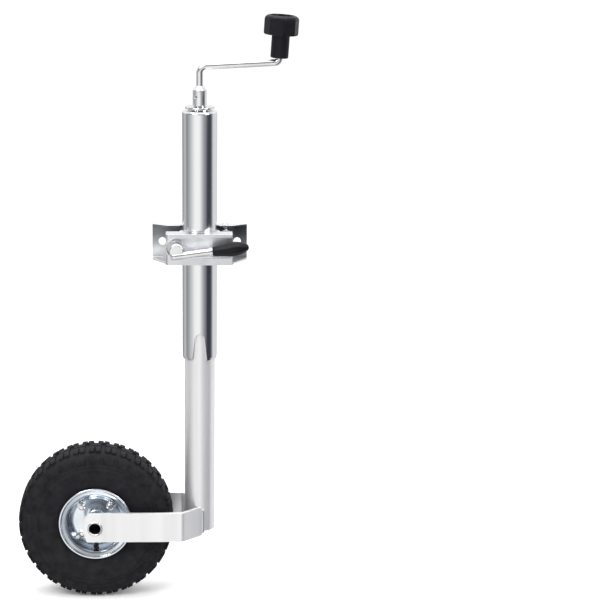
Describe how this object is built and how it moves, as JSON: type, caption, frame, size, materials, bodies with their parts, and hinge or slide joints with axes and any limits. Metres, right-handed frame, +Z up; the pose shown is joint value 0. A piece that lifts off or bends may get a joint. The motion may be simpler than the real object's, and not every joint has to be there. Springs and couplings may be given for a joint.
{
  "type": "tongue jack stand",
  "caption": "Tubular jockey wheel with a crank-wound telescopic leg, pneumatic wheel and split clamp for a trailer drawbar.",
  "frame": {"origin": "midway between the two bolt holes of the clamp bracket, on its rear face", "axes": "+Z up along the tubes, +Y out of the bracket's rear face into the drawbar, +X along the line of the bolt holes to the hinge side of the clamp"},
  "size_m": [0.4871, 0.1368, 1.0274],
  "materials": {
    "bright_zinc": "bright zinc plating, lightly drawn",
    "satin_zinc": "satin zinc plating",
    "pressed_zinc": "zinc plated pressing",
    "rod_zinc": "zinc plated bar",
    "rim_zinc": "bright bluish zinc plating",
    "plain_steel": "oiled steel",
    "weld": "plated weld bead",
    "nut_brass": "turned brass",
    "black_plastic": "moulded black plastic",
    "bush_plastic": "plain nylon",
    "tyre_rubber": "moulded tyre rubber",
    "tube_rubber": "smooth rubber"
  },
  "bodies": {
    "bracket": {"clamp_bracket": "pressed_zinc", "hinge_pin": "rod_zinc", "hinge_pin_clip": "plain_steel", "clamp_nut": "plain_steel"},
    "jaw": {"clamp_jaw": "pressed_zinc"},
    "washer": {"clamp_washer": "pressed_zinc"},
    "lever": {"clamp_bolt": "rod_zinc", "lever_rod": "rod_zinc", "lever_ferrule": "rod_zinc", "lever_grip": "black_plastic"},
    "stand": {"outer_tube": "bright_zinc", "tube_cap": "plain_steel", "race_upper": "plain_steel", "bearing_balls": "plain_steel", "bearing_cover": "bright_zinc"},
    "crank": {"race_lower": "plain_steel", "spindle": "plain_steel", "spindle_stop": "plain_steel", "crank_collar": "rod_zinc", "crank_pin": "plain_steel", "crank_rod": "rod_zinc", "knob_retainer": "plain_steel"},
    "knob": {"knob": "black_plastic"},
    "nut": {"spindle_nut": "nut_brass"},
    "leg": {"inner_tube": "satin_zinc", "nut_seat": "plain_steel", "nut_circlip": "plain_steel", "fork_arm_near": "satin_zinc", "fork_arm_far": "satin_zinc", "fork_welds": "weld", "axle_tube": "rod_zinc", "axle_spacers": "plain_steel"},
    "wheel": {"tyre": "tyre_rubber", "air_tube": "tube_rubber", "rim_front": "rim_zinc", "rim_rear": "rim_zinc", "hub_tube": "rim_zinc", "hub_bushes": "bush_plastic", "rim_bolts": "rod_zinc", "rim_nuts": "rod_zinc", "valve_stem": "tube_rubber", "valve_cap": "black_plastic"}
  },
  "joints": [
    {"name": "jaw_open", "type": "hinge", "parent": "bracket", "child": "jaw", "pos_m": [0.044, -0.0128, 0], "axis": [0, 0, 1], "range_deg": [0, 1.6]},
    {"name": "lever_travel", "type": "slide", "parent": "bracket", "child": "washer", "axis": [0, -1, 0], "range_m": [0, 0.00306]},
    {"name": "lever_turn", "type": "hinge", "parent": "washer", "child": "lever", "pos_m": [-0.0395, -0.0793, 0.0015], "axis": [0, -1, 0], "range_deg": [0, 630]},
    {"name": "stand_lower", "type": "slide", "parent": "bracket", "child": "stand", "axis": [0, 0, -1], "range_m": [-0.11, 0.185]},
    {"name": "crank_turn", "type": "hinge", "parent": "stand", "child": "crank", "pos_m": [0, -0.0343, 0.25], "axis": [0, 0, 1], "range_deg": [0, 21600]},
    {"name": "knob_spin", "type": "hinge", "parent": "crank", "child": "knob", "pos_m": [0.134, -0.0343, 0.31523], "axis": [0.061, 0, 0.9981], "continuous": true},
    {"name": "nut_travel", "type": "slide", "parent": "stand", "child": "nut", "axis": [0, 0, 1], "range_m": [0, 0.3]},
    {"name": "leg_swivel", "type": "hinge", "parent": "nut", "child": "leg", "pos_m": [0, -0.0343, -0.13], "axis": [0, 0, 1], "range_deg": [-180, 180]},
    {"name": "wheel_spin", "type": "hinge", "parent": "leg", "child": "wheel", "pos_m": [-0.183, -0.0343, -0.495], "axis": [0, 1, 0], "continuous": true}
  ],
  "couplings": [
    {"joint": "jaw_open", "follows": "lever_turn", "ratio": 0.0025397},
    {"joint": "lever_travel", "follows": "lever_turn", "m_per_rad": 0.00027852},
    {"joint": "nut_travel", "follows": "crank_turn", "m_per_rad": 0.00079577}
  ]
}
